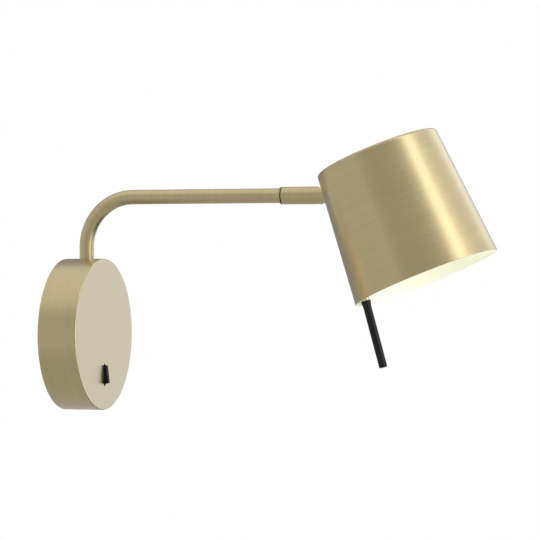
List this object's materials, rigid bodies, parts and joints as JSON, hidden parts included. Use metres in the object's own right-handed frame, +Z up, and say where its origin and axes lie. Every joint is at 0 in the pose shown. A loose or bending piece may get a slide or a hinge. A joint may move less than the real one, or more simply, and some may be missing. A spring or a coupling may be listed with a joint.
{
  "type": "bedside wall reading lamp",
  "caption": "Wall reading lamp: round switched canopy, bent tube arm, swivel and tilting tapered shade with a black handle rod.",
  "frame": {"origin": "centre of the canopy's back, on the wall", "axes": "+Z up, -Y out of the wall into the room, +Y into the wall, X along the wall"},
  "size_m": [0.11, 0.3201, 0.2005],
  "materials": {
    "satin_gold": "brushed satin champagne gold",
    "zinc_steel": "bright zinc plate",
    "brass": "turned",
    "cast_alloy": "white powder coat on cast metal",
    "black_plastic": "semi-gloss moulded",
    "black_grip": "satin",
    "white_nylon": "moulded",
    "nylon": "natural",
    "fibre": "dark fibre",
    "ceramic": "glazed",
    "rubber": "matt",
    "flex_sheath": "smooth sheath",
    "frosted_glass": "frosted, lit",
    "lit_core": "lit"
  },
  "bodies": {
    "arm": {"wall_plate": "zinc_steel", "cable_grommet": "rubber", "cover_screw": "zinc_steel", "terminal_block": "white_nylon", "terminal_inserts": "brass", "terminal_screws": "zinc_steel", "block_screws": "zinc_steel", "earth_washer": "zinc_steel", "earth_screw": "zinc_steel", "canopy_cover": "satin_gold", "switch_studs": "zinc_steel", "switch_body": "black_plastic", "switch_nuts": "zinc_steel", "switch_tabs": "brass", "switch_connectors": "white_nylon", "switch_leads": "flex_sheath", "clamp_block": "brass", "arm_screw": "zinc_steel", "arm_tube": "satin_gold", "arm_lead": "flex_sheath", "ferrule": "satin_gold", "spindle": "brass", "swivel_washer": "fibre", "stop_pin": "zinc_steel", "disc_spring": "zinc_steel", "swivel_nut": "brass"},
    "rocker": {"switch_rocker": "black_plastic"},
    "sleeve": {"swivel_sleeve": "satin_gold", "fork_plug": "satin_gold", "sleeve_screw": "zinc_steel", "pivot_screw": "zinc_steel", "pivot_washers": "nylon"},
    "head": {"shade": "satin_gold", "shade_studs": "zinc_steel", "head_bracket": "cast_alloy", "bracket_nuts": "zinc_steel", "lampholder": "ceramic", "holder_screws": "zinc_steel", "lamp_base": "white_nylon", "lamp_pins": "zinc_steel", "lamp_core": "lit_core", "lamp_envelope": "frosted_glass", "handle_rod": "satin_gold", "handle_grip": "black_grip"}
  },
  "joints": [
    {"name": "head_swivel", "type": "hinge", "parent": "arm", "child": "sleeve", "pos_m": [0, -0.166, 0.0995], "axis": [0, 1, 0], "range_deg": [-165, 165]},
    {"name": "head_tilt", "type": "hinge", "parent": "sleeve", "child": "head", "pos_m": [0, -0.1995, 0.0995], "axis": [1, 0, 0], "range_deg": [-17.8, 62.2]},
    {"name": "switch_rock", "type": "hinge", "parent": "arm", "child": "rocker", "pos_m": [0, -0.0264, -0.0296], "axis": [1, 0, 0], "range_deg": [0, 12.6]}
  ]
}
